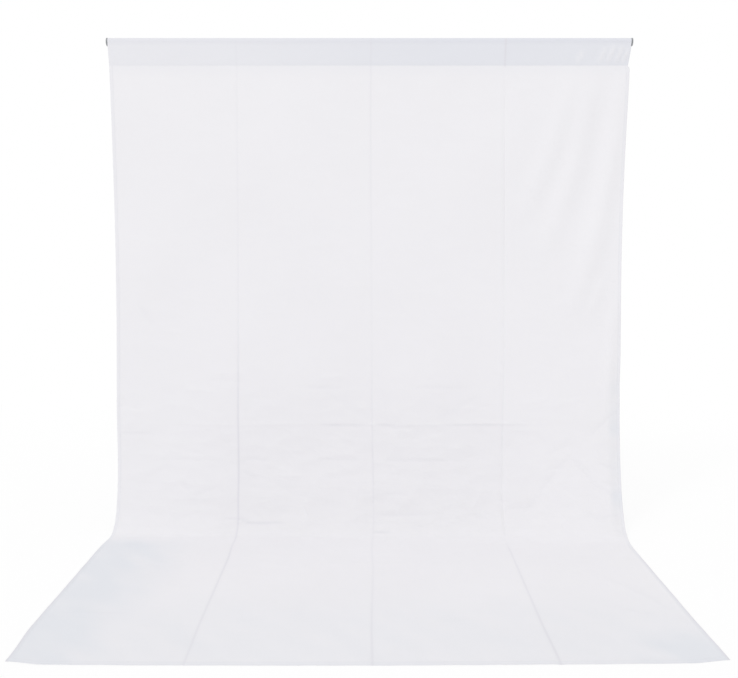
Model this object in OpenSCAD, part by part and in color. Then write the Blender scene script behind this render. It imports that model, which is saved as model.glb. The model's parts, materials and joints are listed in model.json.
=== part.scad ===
// Backdrop support: a muslin sweep on a four-part crossbar, carried by two folding stands behind it.
// Millimetres. X runs to the viewer's right, Y to the back, Z up. The floor is z = 0.
// The origin is the bottom centre of the whole object, and the cloth faces -Y.

/* [Backdrop] */
// Finished width of the cloth
backdrop_w = 2000; // [1600:10:2400]
// Finished length from the top fold to the front hem
backdrop_l = 3070; // [2700:10:3400]
// Height of the sewn bar pocket, from the top fold to the seam
pocket_h = 102; // [70:1:130]
// Cloth thickness
cloth_t = 1.2; // [0.8:0.1:2]
// Height at which the drop starts to bend forward
bend_h = 600; // [500:10:900]
// How far forward the bend reaches before it lies flat, at mid width
bend_d = 190; // [160:5:320]
// How much further the bend reaches on the right edge than at mid width
bend_skew = 30; // [0:1:60]
// How far each side edge bows in
edge_bow = 11; // [0:1:25]
// Height below which the side edges hang straight again
bow_foot = 490; // [100:10:900]
// Depth of the drape folds that fan out from the top right corner
fold_depth = 7; // [0:0.5:12]

/* [Crossbar] */
// Height of the crossbar axis
bar_z = 1902; // [1500:1:1920]
// Outside diameter of the crossbar tube
bar_d = 25; // [22:0.5:32]
// Wall of the crossbar tube
bar_wall = 1.2; // [0.8:0.1:2]
// Length of the reduced end that plugs into the next section
plug_l = 60; // [40:1:90]

/* [Return bracket] */
// Distance from the bar end in to the stand axis
stand_inset = 200; // [150:5:300]
// Distance from the bar axis back to the stand axis
stand_setback = 290; // [280:5:360]
// Height of the flat steel strap
strap_h = 30; // [22:1:40]
// Thickness of the strap
strap_t = 4; // [3:0.5:8]
// Height of the socket that drops over the stand spigot
socket_h = 50; // [36:1:70]

/* [Column] */
// Outside diameter of the lower tube
lower_d = 25; // [24:0.5:28]
// Wall of the column tubes
tube_wall = 1.2; // [1:0.1:1.4]
// Length of the two sliding tubes
section_l = 650; // [600:5:720]
// How far each sliding tube still sits in the next one down
tube_overlap = 71.5; // [55:0.5:120]
// Diameter of the free spigot above the bracket
spigot_d = 16; // [14:0.5:17]

/* [Tripod] */
// Radius of the circle the feet stand on
foot_r = 300; // [270:5:330]
// Leg length from its pivot to the foot
leg_l = 430; // [410:5:480]
// Outside diameter of the leg tube
leg_d = 16; // [14:0.5:18]
// Strut length between pivots
strut_l = 185; // [165:1:195]
// Radius of the pivots around the column
pivot_r = 24; // [23:0.5:28]

/* [Knobs] */
// Length of a knob head along its screw
knob_l = 15; // [10:1:20]
// Radius of the circle through the three knob lobes
knob_r = 9; // [7:0.5:12]

/* [Hidden] */
$fn = 48;
// Clearances: turning or sliding fit, glued or pressed fit, between faces, between nested tubes, past a cut
run_gap = 0.075;
fit_gap = 0.05;
side_gap = 0.3;
nest_gap = 0.3;
cut = 1;

half_w = backdrop_w / 2;
bar_over = 1;
bar_half = half_w + bar_over;
bar_r = bar_d / 2;
bar_in_r = bar_r - bar_wall;
plug_r = bar_in_r - 2 * fit_gap;
section_w = 2 * bar_half / 4;

mid_d = lower_d - 2 * tube_wall - 2 * nest_gap;
top_d = mid_d - 2 * tube_wall - 2 * nest_gap;
flange_t = 5;
spigot_plug_l = 40;
groove_h = 12;
groove_t = 1.5;
chamfer = 2;
free_l = 28;
root_r = spigot_d / 2 + 0.5;
thread_d = 5.1;
thread_l = 14;

leg_wall = 1.2;
leg_off = leg_d / 2 + 10;
cap_r = leg_d / 2 + 2.5;
cap_h = 37;
cap_top = -9;
foot_rad = leg_d / 2 + 3;
foot_h = 28;
foot_flat = 0.6;
foot_floor = 6;
spread = asin((foot_r - pivot_r) / norm([leg_l, leg_off])) - atan2(leg_off, leg_l);
hub_z = foot_rad - foot_flat - leg_off * sin(spread) + leg_l * cos(spread);
strut_z = hub_z - 2 * strut_l * cos(spread);

low_z = strut_z - 10;
end_plug_l = 18;
top_top = bar_z - socket_h / 2 - flange_t;
mid_top = top_top - section_l + tube_overlap;
lower_top = mid_top - section_l + tube_overlap;

strut_w = 10;
strut_t = 3.2;
strut_slot = strut_t / 2 + side_gap;
strut_pin_d = 4;
leg_pin_d = 5;
ear_r = 6;
rivet_t = 1.5;
knob_az = 120;
leg_az = [180, 60, -60];
leg_names = ["inner", "rear", "front"];

collar_wall = 6;
collar_up = 22;
collar_down = 24;
knob_up = 12;
boss_r = 8.5;
boss_out = 5;
stem_d = 6;
rib_r = 1.2;
rib_n = 12;
leg_tongue = 8;
leg_slot = leg_tongue / 2 + side_gap;
leg_ear_t = 4;
leg_collar_up = 26;
leg_collar_down = 20;
leg_knob_up = 14;
strut_ear_t = 3.5;
strut_collar_up = 12;
strut_collar_down = 14;
band_ear_t = 3;
socket_wall = 6.5;

// The depth from the front hem to the rear feet is centred on y = 0.
rear_reach = stand_setback + foot_r * sin(60) + foot_rad;
// The pocket: facets of the loop over the bar, its rough radius, and the length that the seam takes up.
loop_n = 9;
loop_rough = bar_r + 1;
seam_take = 2;
seam_lift = 2.2 * cloth_t;
loop_alpha = acos(loop_rough / (pocket_h - loop_rough));
loop_step = (360 - 2 * loop_alpha) / loop_n;
loop_r = (bar_r + side_gap) / cos(loop_step / 2) + cloth_t / 2;
top_z = bar_z + loop_r + cloth_t / 2;
seam_z = top_z - pocket_h;
loop_len = loop_r * PI * (180 - loop_alpha) / 180 + norm([bar_z - seam_z, loop_r]) - seam_take;
front_reach = backdrop_l - loop_len - (seam_z - bend_h) - bend_len(bend_d) + bend_d;
bar_y = (front_reach - rear_reach) / 2;
stand_y = bar_y + stand_setback;
stand_x = bar_half - stand_inset;

steel = [0.16, 0.16, 0.17];
alloy = [0.30, 0.30, 0.32];
bright = [0.75, 0.75, 0.77];
plastic = [0.07, 0.07, 0.08];
muslin = [0.93, 0.93, 0.94];

side_parts = [
  "lower_tube", "mid_tube", "top_tube", "end_plug", "spigot", "lower_collar", "upper_collar", "lower_knob",
  "upper_knob", "leg_collar", "leg_pins", "leg_knob", "strut_collar", "bracket", "bracket_knob",
  "leg_inner", "leg_rear", "leg_front", "fittings_inner", "fittings_rear", "fittings_front",
  "foot_inner", "foot_rear", "foot_front", "strut_inner", "strut_rear", "strut_front"
];

// Cloth shape

x_stations = [
  -1, -0.94, -0.82, -0.66, -0.5, -0.34, -0.17, 0, 0.17, 0.34,
  0.5, 0.58, 0.65, 0.71, 0.76, 0.81, 0.86, 0.91, 0.96, 1
];
floor_stations = [0, 0.03, 0.25, 0.5, 0.75];
// The folds spring from a point this far outside the corner. Their pitch and their fading are angles.
fold_source = 30;
fold_pitch = 6.5;
fold_spread = 13;
fold_fade = 250;
wave_depth = 2.5;
// Below this height, and over this share of the floor part at each end, the cloth is plain.
low_flat = 80;
flat_share = 0.3;
bend_stations = [1, 0.86, 0.72, 0.58, 0.42, 0.25, 0.1];
drop_stations = [0, 0.17, 0.34, 0.5, 0.66, 0.84, 1];

function bend_at(x) = bend_d + bend_skew * x / half_w;
function bend_yz(t, d) = [-d * t * t, bend_h * (1 - t) * (1 - t)];
function bend_len(d) =
  let (n = 40)
  let (steps = [for (i = [0:n - 1]) norm(bend_yz((i + 1) / n, d) - bend_yz(i / n, d))])
  steps * [for (i = [0:n - 1]) 1];

function clamp01(a) = max(0, min(1, a));
function smooth(a) = clamp01(a) * clamp01(a) * (3 - 2 * clamp01(a));

// Backward push of the drop: diagonal folds from the right corner and one slow wave across.
function drop_push(x, z) =
  let (dx = half_w + fold_source - x)
  let (angle = atan2(dx, top_z - z))
  let (fan = sin(360 * angle / fold_pitch) * exp(-pow(angle / fold_spread, 2)))
  let (fade = smooth((seam_z - z) / fold_fade) * smooth((z - low_flat) / bend_h))
  fade * (fold_depth * fan + wave_depth * sin(200 * x / half_w + 40));

// Lift of the floor part: a few low ripples that never go below the floor.
function floor_lift(x, f) =
  let (ripple = (1 - sin(260 * x / half_w + 300 * f)) / 2)
  let (fade = smooth(f / flat_share) * smooth((1 - f) / flat_share))
  wave_depth * ripple * fade;

function bow(x, z) = x * (1 - edge_bow / half_w * sin(180 * clamp01((top_z - z) / (top_z - bow_foot))));

// Each tail point is [x, y, z, normal y, normal z] with the normal on the camera's side.
function floor_point(f, x) =
  [x, -front_reach + f * (front_reach - bend_at(x)), cloth_t / 2 + floor_lift(x, f), 0, 1];
function bend_point(t, x) =
  let (p = bend_yz(t, bend_at(x)))
  let (len = norm([bend_h * (1 - t), bend_at(x) * t]))
  [
    bow(x, p[1]),
    p[0] + drop_push(x, p[1]),
    p[1] + cloth_t / 2,
    -bend_h * (1 - t) / len,
    bend_at(x) * t / len
  ];
function drop_point(g, x) =
  let (z = bend_h + g * (seam_z - bend_h) + (1 - g) * cloth_t / 2)
  [bow(x, z), drop_push(x, z), z, -1, 0];
function tail(x) = concat(
  [for (f = floor_stations) floor_point(f, x)],
  [for (t = bend_stations) bend_point(t, x)],
  [for (g = drop_stations) drop_point(g, x)]
);
function tail_side(row, s) =
  [for (p = row) [p[0], p[1] + s * p[3] * cloth_t / 2, p[2] + s * p[4] * cloth_t / 2]];
function loop_side(x, r) =
  [
    for (i = [0:loop_n])
      let (a = loop_alpha + i * loop_step)
      [x, -r * sin(a), bar_z - r * cos(a)]
  ];
function reverse(list) = [for (i = [len(list) - 1:-1:0]) list[i]];
function outer_ring(x) =
  let (row = tail(x))
  let (x_top = row[len(row) - 1][0])
  concat(tail_side(row, 1), loop_side(x_top, loop_r + cloth_t / 2), reverse(tail_side(row, -1)));
function inner_ring(x) =
  let (x_top = bow(x, seam_z))
  concat(
    [[x_top, 0, seam_z + seam_lift * (bar_z - seam_z) / (2 * loop_r)]],
    loop_side(x_top, loop_r - cloth_t / 2)
  );

module backdrop() {
  xs = [for (u = x_stations) u * half_w];
  n_tail = len(floor_stations) + len(bend_stations) + len(drop_stations);
  n_loop = loop_n + 1;
  n_out = 2 * n_tail + n_loop;
  n_in = n_loop + 1;
  n_all = n_out + n_in;
  last = (len(xs) - 1) * n_all;
  points = [for (x = xs) each concat(outer_ring(x), inner_ring(x))];
  outer_faces = [
    for (i = [0:len(xs) - 2])
      for (k = [0:n_out - 1])
        let (a = i * n_all + k)
        let (b = i * n_all + (k + 1) % n_out)
        each [[a, b, b + n_all], [a, b + n_all, a + n_all]]
  ];
  inner_faces = [
    for (i = [0:len(xs) - 2])
      for (k = [0:n_in - 1])
        let (a = i * n_all + n_out + k)
        let (b = i * n_all + n_out + (k + 1) % n_in)
        each [[a, b + n_all, b], [a, a + n_all, b + n_all]]
  ];
  tail_cap = [
    for (k = [0:n_tail - 2])
      let (f = k)
      let (b = n_out - 1 - k)
      each [[f, b, b - 1], [f, b - 1, f + 1]]
  ];
  seam_cap = [[n_tail - 1, n_out - n_tail, n_out]];
  ring_cap = [
    for (k = [0:n_loop])
      let (o = n_tail - 1 + k)
      let (i0 = n_out + k)
      let (i1 = n_out + (k + 1) % n_in)
      each [[o, i0, i1], [o, i1, o + 1]]
  ];
  near_cap = concat(tail_cap, seam_cap, ring_cap);
  far_cap = [for (f = near_cap) [f[0] + last, f[2] + last, f[1] + last]];
  color(muslin)
    translate([0, bar_y, 0])
      polyhedron(points, concat(outer_faces, inner_faces, near_cap, far_cap), convexity = 10);
}

// Crossbar

module bar_section(i) {
  start = i == 1 ? 0 : side_gap;
  neck = 5;
  tube = [
    [bar_in_r, start],
    [bar_r, start],
    [bar_r, section_w],
    [bar_in_r, section_w]
  ];
  swaged = [
    [bar_in_r, start],
    [bar_r, start],
    [bar_r, section_w],
    [plug_r, section_w],
    [plug_r, section_w + plug_l],
    [plug_r - bar_wall, section_w + plug_l],
    [plug_r - bar_wall, section_w - neck],
    [bar_in_r, section_w - 2 * neck]
  ];
  color(alloy)
    translate([-bar_half + (i - 1) * section_w, bar_y, bar_z])
      rotate([0, 90, 0])
        rotate_extrude()
          polygon(i == 4 ? tube : swaged);
}

// Stand parts, drawn for the right stand around its own axis: X outward, Y back

module ring(r_out, r_in, z0, z1) {
  difference() {
    translate([0, 0, z0]) cylinder(r = r_out, h = z1 - z0);
    translate([0, 0, z0 - cut]) cylinder(r = r_in, h = z1 - z0 + 2 * cut);
  }
}

module along(az, z) {
  translate([0, 0, z]) rotate([0, 0, az]) rotate([0, 90, 0]) children();
}

module lower_tube() {
  color(alloy) ring(lower_d / 2, lower_d / 2 - tube_wall, low_z, lower_top);
}

module mid_tube() {
  color(alloy) ring(mid_d / 2, mid_d / 2 - tube_wall, mid_top - section_l, mid_top);
}

module top_tube() {
  color(alloy) ring(top_d / 2, top_d / 2 - tube_wall, top_top - section_l, top_top);
}

module end_plug() {
  color(plastic) {
    translate([0, 0, low_z]) cylinder(r = lower_d / 2 - tube_wall - fit_gap, h = end_plug_l);
    translate([0, 0, low_z - flange_t]) cylinder(r1 = lower_d / 2 - chamfer, r2 = lower_d / 2, h = flange_t);
  }
}

module spigot() {
  seat = top_top + flange_t;
  free = seat + socket_h;
  full = free + free_l;
  plug = top_d / 2 - tube_wall - fit_gap;
  flange = top_d / 2 + collar_wall / 2;
  r = root_r;
  stud_r = spigot_d / 2;
  color(bright)
    rotate_extrude()
      polygon([
        [0, top_top - spigot_plug_l],
        [plug, top_top - spigot_plug_l],
        [plug, top_top],
        [flange, top_top],
        [flange, seat],
        [r, seat],
        [r, bar_z - groove_h / 2 - chamfer],
        [r - groove_t, bar_z - groove_h / 2],
        [r - groove_t, bar_z + groove_h / 2],
        [r, bar_z + groove_h / 2 + chamfer],
        [r, free],
        [stud_r - groove_t, free],
        [stud_r - groove_t, free + chamfer],
        [stud_r, free + chamfer],
        [stud_r, full - chamfer],
        [stud_r - chamfer, full],
        [thread_d / 2, full],
        [thread_d / 2, full - thread_l],
        [0, full - thread_l]
      ]);
}

// A moulded collar with grip ribs, clamped on the end of the fixed tube, with a boss for its knob
module lock_collar(z, d_fixed, d_slide) {
  r_out = d_fixed / 2 + collar_wall;
  rib_h = collar_up + collar_down - 4 * chamfer;
  color(plastic)
    difference() {
      union() {
        translate([0, 0, z - collar_down + chamfer])
          cylinder(r = r_out, h = collar_up + collar_down - 2 * chamfer);
        translate([0, 0, z - collar_down]) cylinder(r1 = r_out - chamfer, r2 = r_out, h = chamfer);
        translate([0, 0, z + collar_up - chamfer]) cylinder(r1 = r_out, r2 = r_out - chamfer, h = chamfer);
        along(knob_az, z + knob_up) cylinder(r = boss_r, h = r_out + boss_out);
        for (k = [1:rib_n - 1])
          rotate([0, 0, knob_az + k * 360 / rib_n])
            translate([r_out, 0, z - collar_down + 2 * chamfer]) cylinder(r = rib_r, h = rib_h, $fn = 16);
      }
      translate([0, 0, z - collar_down - cut]) cylinder(r = d_fixed / 2 + fit_gap, h = collar_down + cut);
      translate([0, 0, z - cut]) cylinder(r = d_slide / 2 + run_gap, h = collar_up + 2 * cut);
      along(knob_az, z + knob_up) cylinder(r = stem_d / 2 + run_gap, h = r_out + boss_out + cut);
    }
}

// A three-lobed knob whose screw ends short of the tube it clamps
module knob(z, r_tip, r_face) {
  hub_r = 6.5;
  lobe_r = 6;
  neck = 2;
  color(plastic)
    along(knob_az, z) {
      translate([0, 0, r_tip]) cylinder(d = stem_d, h = r_face - r_tip + neck + cut);
      translate([0, 0, r_face + side_gap]) {
        cylinder(r = hub_r, h = knob_l + neck);
        for (k = [0:2])
          rotate([0, 0, 120 * k])
            translate([knob_r, 0, neck]) {
              cylinder(r = lobe_r, h = knob_l - neck - chamfer);
              translate([0, 0, knob_l - neck - chamfer])
                cylinder(r1 = lobe_r, r2 = lobe_r - chamfer, h = chamfer);
            }
      }
    }
}

// Two ears beside a slot, reaching out to the pivot circle
module pivot_ears(z, slot, ear_t, root) {
  for (az = leg_az)
    rotate([0, 0, az])
      for (s = [-1, 1])
        translate([0, s * (slot + ear_t / 2), z]) {
          translate([root, -ear_t / 2, -ear_r]) cube([pivot_r - root, ear_t, 2 * ear_r]);
          translate([pivot_r, 0, 0]) rotate([90, 0, 0]) cylinder(r = ear_r, h = ear_t, center = true);
        }
}

module leg_collar() {
  r_out = pivot_r - boss_out;
  body_h = leg_collar_up + leg_collar_down;
  color(plastic)
    difference() {
      union() {
        translate([0, 0, hub_z - leg_collar_down]) cylinder(r = r_out, h = body_h - chamfer);
        translate([0, 0, hub_z + leg_collar_up - chamfer])
          cylinder(r1 = r_out, r2 = r_out - chamfer, h = chamfer);
        along(knob_az, hub_z + leg_knob_up) cylinder(r = boss_r, h = r_out + boss_out);
        pivot_ears(hub_z, leg_slot, leg_ear_t, r_out - leg_ear_t);
      }
      translate([0, 0, hub_z - leg_collar_down - cut])
        cylinder(r = lower_d / 2 + run_gap, h = body_h + 2 * cut);
      along(knob_az, hub_z + leg_knob_up) cylinder(r = stem_d / 2 + run_gap, h = pivot_r + cut);
      for (az = leg_az)
        rotate([0, 0, az])
          translate([pivot_r, 0, hub_z])
            rotate([90, 0, 0]) cylinder(d = leg_pin_d, h = 2 * (leg_slot + leg_ear_t + cut), center = true);
    }
}

module leg_pins() {
  half_l = leg_slot + leg_ear_t;
  head_r = 4.25;
  color(bright)
    for (az = leg_az)
      rotate([0, 0, az])
        translate([pivot_r, 0, hub_z])
          rotate([90, 0, 0]) {
            cylinder(d = leg_pin_d, h = 2 * half_l, center = true);
            for (s = [-1, 1])
              translate([0, 0, s * (half_l + rivet_t / 2)]) cylinder(r = head_r, h = rivet_t, center = true);
          }
}

module strut_collar() {
  r_out = pivot_r - ear_r;
  head_r = 3.5;
  color(plastic)
    difference() {
      union() {
        translate([0, 0, strut_z - strut_collar_down])
          cylinder(r = r_out, h = strut_collar_up + strut_collar_down);
        pivot_ears(strut_z, strut_slot, strut_ear_t, r_out - strut_ear_t);
        for (az = leg_az, s = [-1, 1])
          rotate([0, 0, az])
            translate([pivot_r, s * (strut_slot + strut_ear_t + rivet_t / 2), strut_z])
              rotate([90, 0, 0]) cylinder(r = head_r, h = rivet_t, center = true);
      }
      translate([0, 0, strut_z - strut_collar_down - cut])
        cylinder(r = lower_d / 2 + fit_gap, h = strut_collar_up + strut_collar_down + 2 * cut);
    }
}

// A leg hangs straight down from its pivot before it is spread and turned to its azimuth.
module spread_leg(i) {
  rotate([0, 0, leg_az[i]]) translate([pivot_r, 0, hub_z]) rotate([0, -spread, 0]) children();
}

module leg_tube(i) {
  color(alloy)
    spread_leg(i)
      translate([leg_off, 0, 0])
        ring(leg_d / 2, leg_d / 2 - leg_wall, foot_floor - leg_l, cap_top - boss_out);
}

// The cap on the leg's top end with its pivot tongue, and the band that carries the strut
module fittings(i) {
  tongue_r = 4.7;
  tongue_h = 22;
  band_h = 22;
  strut_ear_r = 5.5;
  color(plastic)
    spread_leg(i) {
      difference() {
        union() {
          translate([leg_off, 0, cap_top - cap_h]) cylinder(r = cap_r, h = cap_h);
          translate([-tongue_r, -leg_tongue / 2, -tongue_h]) cube([leg_off + tongue_r, leg_tongue, tongue_h]);
          rotate([90, 0, 0]) cylinder(r = tongue_r, h = leg_tongue, center = true);
        }
        translate([leg_off, 0, cap_top - cap_h - cut])
          cylinder(r = leg_d / 2 + fit_gap, h = cap_h + cut - boss_out);
        rotate([90, 0, 0]) cylinder(d = leg_pin_d + 2 * fit_gap, h = leg_tongue + 2 * cut, center = true);
      }
      translate([0, 0, -strut_l])
        difference() {
          union() {
            translate([leg_off, 0, -band_h / 2]) cylinder(r = cap_r, h = band_h);
            for (s = [-1, 1])
              translate([0, s * (strut_slot + band_ear_t / 2), 0]) {
                translate([0, -band_ear_t / 2, -strut_ear_r])
                  cube([leg_off - leg_d / 2 - fit_gap, band_ear_t, 2 * strut_ear_r]);
                rotate([90, 0, 0]) cylinder(r = strut_ear_r, h = band_ear_t, center = true);
              }
          }
          translate([leg_off, 0, -band_h / 2 - cut]) cylinder(r = leg_d / 2 + fit_gap, h = band_h + 2 * cut);
          rotate([90, 0, 0])
            cylinder(d = strut_pin_d + 2 * fit_gap, h = 2 * (strut_slot + band_ear_t + cut), center = true);
        }
    }
}

module foot(i) {
  color(plastic)
    difference() {
      spread_leg(i)
        translate([leg_off, 0, -leg_l])
          difference() {
            union() {
              cylinder(r = foot_rad, h = foot_h);
              sphere(r = foot_rad);
            }
            translate([0, 0, foot_floor]) cylinder(r = leg_d / 2 + fit_gap, h = foot_h);
          }
      translate([-2 * foot_r, -2 * foot_r, -2 * foot_h]) cube([4 * foot_r, 4 * foot_r, 2 * foot_h]);
    }
}

// A flat steel strut with its upper rivet, open at its lower pivot
module strut(i) {
  head_t = 1.2;
  head_d = 7;
  pin_l = 2 * (strut_slot + band_ear_t + side_gap);
  color(steel)
    spread_leg(i)
      translate([0, 0, -strut_l])
        rotate([0, 2 * spread, 0]) {
          difference() {
            union() {
              translate([-strut_w / 2, -strut_t / 2, -strut_l]) cube([strut_w, strut_t, strut_l]);
              for (z = [0, -strut_l])
                translate([0, 0, z]) rotate([90, 0, 0]) cylinder(d = strut_w, h = strut_t, center = true);
            }
            translate([0, 0, -strut_l])
              rotate([90, 0, 0])
                cylinder(d = strut_pin_d + 2 * fit_gap, h = strut_t + 2 * cut, center = true);
          }
          rotate([90, 0, 0]) cylinder(d = strut_pin_d, h = pin_l, center = true);
          for (s = [-1, 1])
            translate([0, s * (pin_l / 2 + head_t / 2), 0])
              rotate([90, 0, 0]) cylinder(d = head_d, h = head_t, center = true);
        }
}

// Return bracket: plugs into the bar end, runs back and then inward to the stand

module bracket() {
  bend_r = 24;
  x_in = stand_inset;
  y_bar = -stand_setback;
  socket_r = root_r + socket_wall;
  arm_x = root_r + chamfer;
  color(steel)
    translate([0, 0, bar_z])
      difference() {
        union() {
          translate([x_in - plug_l, y_bar, 0]) rotate([0, 90, 0]) cylinder(r = plug_r, h = plug_l + cut);
          translate([x_in, y_bar, 0]) rotate([0, 90, 0]) cylinder(d = strap_h, h = strap_t);
          translate([x_in, y_bar, -strap_h / 2])
            cube([strap_t, stand_setback + strap_t / 2 - bend_r, strap_h]);
          translate([x_in + strap_t - bend_r, strap_t / 2 - bend_r, 0])
            rotate_extrude(angle = 90)
              translate([bend_r - strap_t, -strap_h / 2]) square([strap_t, strap_h]);
          translate([arm_x, -strap_t / 2, -strap_h / 2])
            cube([x_in + strap_t - bend_r - arm_x, strap_t, strap_h]);
          translate([0, 0, -socket_h / 2]) cylinder(r = socket_r, h = socket_h);
          along(knob_az, 0) cylinder(r = boss_r, h = socket_r + boss_out);
        }
        cylinder(r = root_r + fit_gap, h = socket_h + 2 * cut, center = true);
        along(knob_az, 0) cylinder(r = stem_d / 2 + run_gap, h = socket_r + boss_out + cut);
      }
}

module place(side) {
  if (side == "left")
    translate([-stand_x, stand_y, 0]) mirror([1, 0, 0]) children();
  else
    translate([stand_x, stand_y, 0]) children();
}

backdrop();
for (i = [1:4])
  bar_section(i);

for (side = ["left", "right"]) {
  place(side) lower_tube();
  place(side) mid_tube();
  place(side) top_tube();
  place(side) end_plug();
  place(side) spigot();
  place(side) lock_collar(lower_top, lower_d, mid_d);
  place(side) lock_collar(mid_top, mid_d, top_d);
  place(side) knob(lower_top + knob_up, mid_d / 2 + side_gap, lower_d / 2 + collar_wall + boss_out);
  place(side) knob(mid_top + knob_up, top_d / 2 + side_gap, mid_d / 2 + collar_wall + boss_out);
  place(side) leg_collar();
  place(side) leg_pins();
  place(side) knob(hub_z + leg_knob_up, lower_d / 2 + side_gap, pivot_r);
  place(side) strut_collar();
  place(side) bracket();
  place(side) knob(bar_z, root_r - groove_t + side_gap, root_r + socket_wall + boss_out);
  for (i = [0:2]) {
    place(side) leg_tube(i);
    place(side) fittings(i);
    place(side) foot(i);
    place(side) strut(i);
  }
}
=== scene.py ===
"""Dresses the backdrop support: the muslin sweep, the finishes of bar and stands, stage, light and camera."""
import json
import math

import bpy
import numpy as np
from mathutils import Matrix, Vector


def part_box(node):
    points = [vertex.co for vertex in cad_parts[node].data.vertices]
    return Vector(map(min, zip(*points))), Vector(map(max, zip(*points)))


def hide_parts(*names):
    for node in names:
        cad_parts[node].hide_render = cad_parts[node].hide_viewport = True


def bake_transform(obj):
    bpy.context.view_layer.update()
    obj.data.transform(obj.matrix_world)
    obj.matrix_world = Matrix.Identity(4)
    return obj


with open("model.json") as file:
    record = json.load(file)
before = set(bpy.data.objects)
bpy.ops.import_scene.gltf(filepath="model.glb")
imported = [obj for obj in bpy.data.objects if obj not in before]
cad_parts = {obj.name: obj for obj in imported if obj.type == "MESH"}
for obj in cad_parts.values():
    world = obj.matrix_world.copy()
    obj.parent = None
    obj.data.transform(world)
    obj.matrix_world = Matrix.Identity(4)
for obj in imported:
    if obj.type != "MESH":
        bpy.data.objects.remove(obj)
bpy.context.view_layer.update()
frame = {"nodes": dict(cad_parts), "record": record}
nodes = frame["nodes"]

# Camera of the photograph, in metres and degrees. Its distance is from the bar's axis.
CAMERA_X = -0.002
CAMERA_BACK = 3.805
CAMERA_HEIGHT = 1.155
CAMERA_TILT = 5.926
CAMERA_LENS = 47.3
SENSOR = 36.0

# The bar and the reach of the cloth, from their solids. Cloth lengths along Y are measured from the bar's
# axis.
bar_low, bar_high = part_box("bar_1")
BAR_Y = (bar_low.y + bar_high.y) / 2
BAR_Z = (bar_low.z + bar_high.z) / 2
BAR_R = (bar_high.z - bar_low.z) / 2
sheet_low, sheet_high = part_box("backdrop")
HALF_WIDTH = sheet_high.x
HEM_Y = sheet_low.y - BAR_Y

# The cloth as sewn: thickness, pocket, hems and stitches
CLOTH_T = 0.0008
BAR_GAP = 0.0010
LOOP_R = BAR_R + BAR_GAP
TOP_Z = BAR_Z + LOOP_R
POCKET = 0.102
SEAM_Z = TOP_Z - POCKET
SIDE_HEM = 0.013
FRONT_HEM = 0.022
HEM_T = 0.0006
STITCH = 0.0030
STITCH_PITCH = 0.0040
STITCH_R = 0.00035

# The cloth as hung: where it bends, how its side edges bow in, and how its hem and corners lie
BEND_H = 0.600
BEND_D = 0.190
BEND_SKEW = 0.030
BOW = 0.0115
BOW_FOOT = 0.490
FLOOR_EASE = 0.0006
HEM_FORWARD = 0.017
HEM_FORWARD_AT = -0.20
POCKET_DRAWN = 0.007
CORNER_BACK = 0.017
LEFT_CORNER_IN = 0.008
# Sideways drift of the cloth's middle line, as steps along it: start v, length, drift to the right
SWAY_STEPS = [
    (0.00, 0.60, -0.0035),
    (1.45, 0.30, 0.0035),
    (1.85, 0.25, -0.0125),
    (2.75, 0.30, 0.0045),
]


def linear(code, alpha=1.0):
    """sRGB hex to linear RGBA: c / 12.92 below 0.04045, else ((c + 0.055) / 1.055) ** 2.4."""
    srgb = [int(code[i : i + 2], 16) / 255 for i in (1, 3, 5)]
    rgb = [c / 12.92 if c <= 0.04045 else ((c + 0.055) / 1.055) ** 2.4 for c in srgb]
    return (*rgb, alpha)


def add(tree, kind, sockets=None, **settings):
    """Adds a node. settings are its properties.

    sockets maps an input's name or number to a value or to another node's output.
    """
    made = tree.nodes.new(kind)
    for key, value in settings.items():
        setattr(made, key, value)
    for key, value in (sockets or {}).items():
        if isinstance(value, bpy.types.NodeSocket):
            tree.links.new(value, made.inputs[key])
        else:
            made.inputs[key].default_value = value
    return made


def new_material(name):
    """An empty node material with its output, returned as (material, tree, output)."""
    material = bpy.data.materials.new(name)
    material.use_nodes = True
    tree = material.node_tree
    tree.nodes.clear()
    return material, tree, add(tree, "ShaderNodeOutputMaterial")


# Cloth shape. u runs across the flat cloth from its middle, v along it from the top fold, both in metres.

def smooth(a):
    """0 below 0, 1 above 1, and 3 a^2 - 2 a^3 between."""
    a = np.clip(a, 0.0, 1.0)
    return a * a * (3 - 2 * a)


def rise(a, start, length):
    """0 up to start, then smoothly to 1 over length."""
    return smooth((a - start) / length)


def fall(a, end, length):
    """1 until length before end, then smoothly to 0 at end."""
    return smooth((end - a) / length)


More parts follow.
